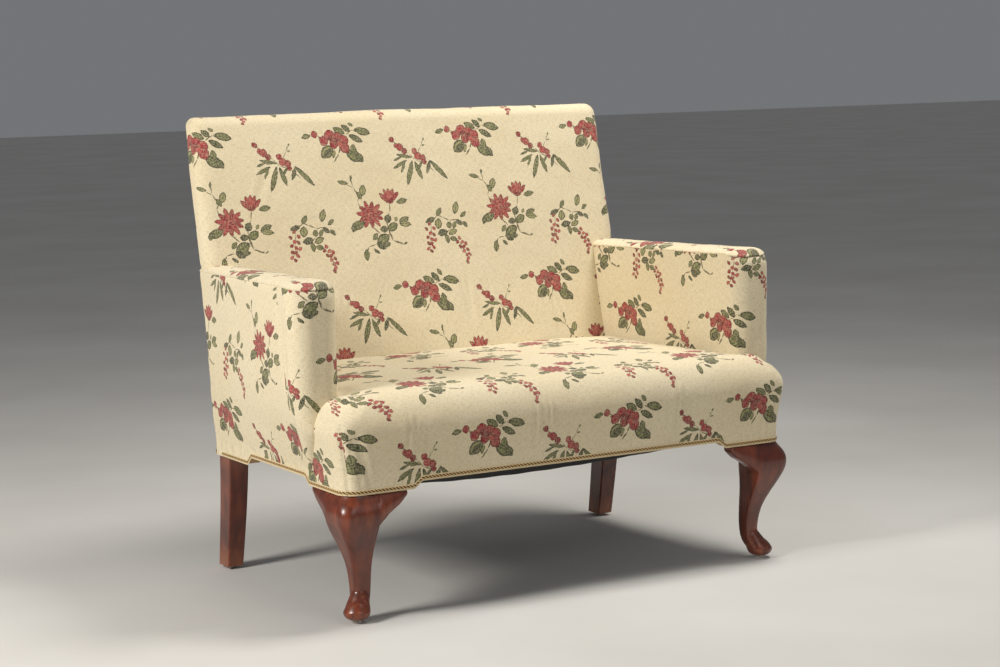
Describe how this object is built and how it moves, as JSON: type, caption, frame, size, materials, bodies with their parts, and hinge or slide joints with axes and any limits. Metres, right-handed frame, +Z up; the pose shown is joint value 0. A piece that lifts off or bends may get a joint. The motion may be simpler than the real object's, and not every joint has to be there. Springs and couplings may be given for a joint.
{
  "type": "cabriole leg settee",
  "caption": "Two-seat upholstered settee with straight raked back, square padded arms, crowned fixed seat, cabriole front legs and raked rear legs.",
  "frame": {"origin": "On the floor, in the middle of the footprint", "axes": "+X to the right of someone who faces the settee, +Y from the front edge to the back, +Z up"},
  "size_m": [1.1826, 0.7667, 0.9999],
  "materials": {
    "polished_wood": "red-brown polished hardwood, satin",
    "glide_plastic": "pale domed nail-on glide",
    "frame_wood": "plain sawn hardwood",
    "steel": "plain steel wire and screws",
    "burlap": "coarse jute",
    "stuffing": "wadding over hair stuffing",
    "cambric": "thin black cambric",
    "braid": "woven braid, brown and beige",
    "printed_cloth": "cream cotton union printed with sprigs of flowers, matt"
  },
  "bodies": {
    "root": {"arm_burlap_left": "burlap", "arm_burlap_right": "burlap", "arm_cover_left": "printed_cloth", "arm_cover_right": "printed_cloth", "arm_pad_left": "stuffing", "arm_pad_right": "stuffing", "arm_post_left": "frame_wood", "arm_post_right": "frame_wood", "arm_rail_left": "frame_wood", "arm_rail_right": "frame_wood", "arm_tack_rail_left": "frame_wood", "arm_tack_rail_right": "frame_wood", "arm_top_strip_left": "printed_cloth", "arm_top_strip_right": "printed_cloth", "back_burlap": "burlap", "back_centre_stile": "frame_wood", "back_lower_rail": "frame_wood", "back_pad": "stuffing", "back_top_rail": "frame_wood", "back_webbing": "burlap", "braid_front": "braid", "braid_rear": "braid", "braid_side_left": "braid", "braid_side_right": "braid", "corner_block_front_left": "frame_wood", "corner_block_front_right": "frame_wood", "corner_block_rear_left": "frame_wood", "corner_block_rear_right": "frame_wood", "corner_screws": "steel", "dust_cover": "cambric", "foot_glides": "glide_plastic", "frame_dowels": "frame_wood", "inside_back_cover": "printed_cloth", "knee_bracket_front_left": "polished_wood", "knee_bracket_front_right": "polished_wood", "knee_bracket_side_left": "polished_wood", "knee_bracket_side_right": "polished_wood", "leg_front_left": "polished_wood", "leg_front_right": "polished_wood", "leg_rear_left": "polished_wood", "leg_rear_right": "polished_wood", "outside_back_cover": "printed_cloth", "rail_front": "frame_wood", "rail_rear": "frame_wood", "rail_side_left": "frame_wood", "rail_side_right": "frame_wood", "seat_brace": "frame_wood", "seat_burlap": "burlap", "seat_cover": "printed_cloth", "seat_edge_pad": "stuffing", "seat_pad": "stuffing", "seat_springs": "steel", "spring_clips": "steel"}
  },
  "joints": []
}
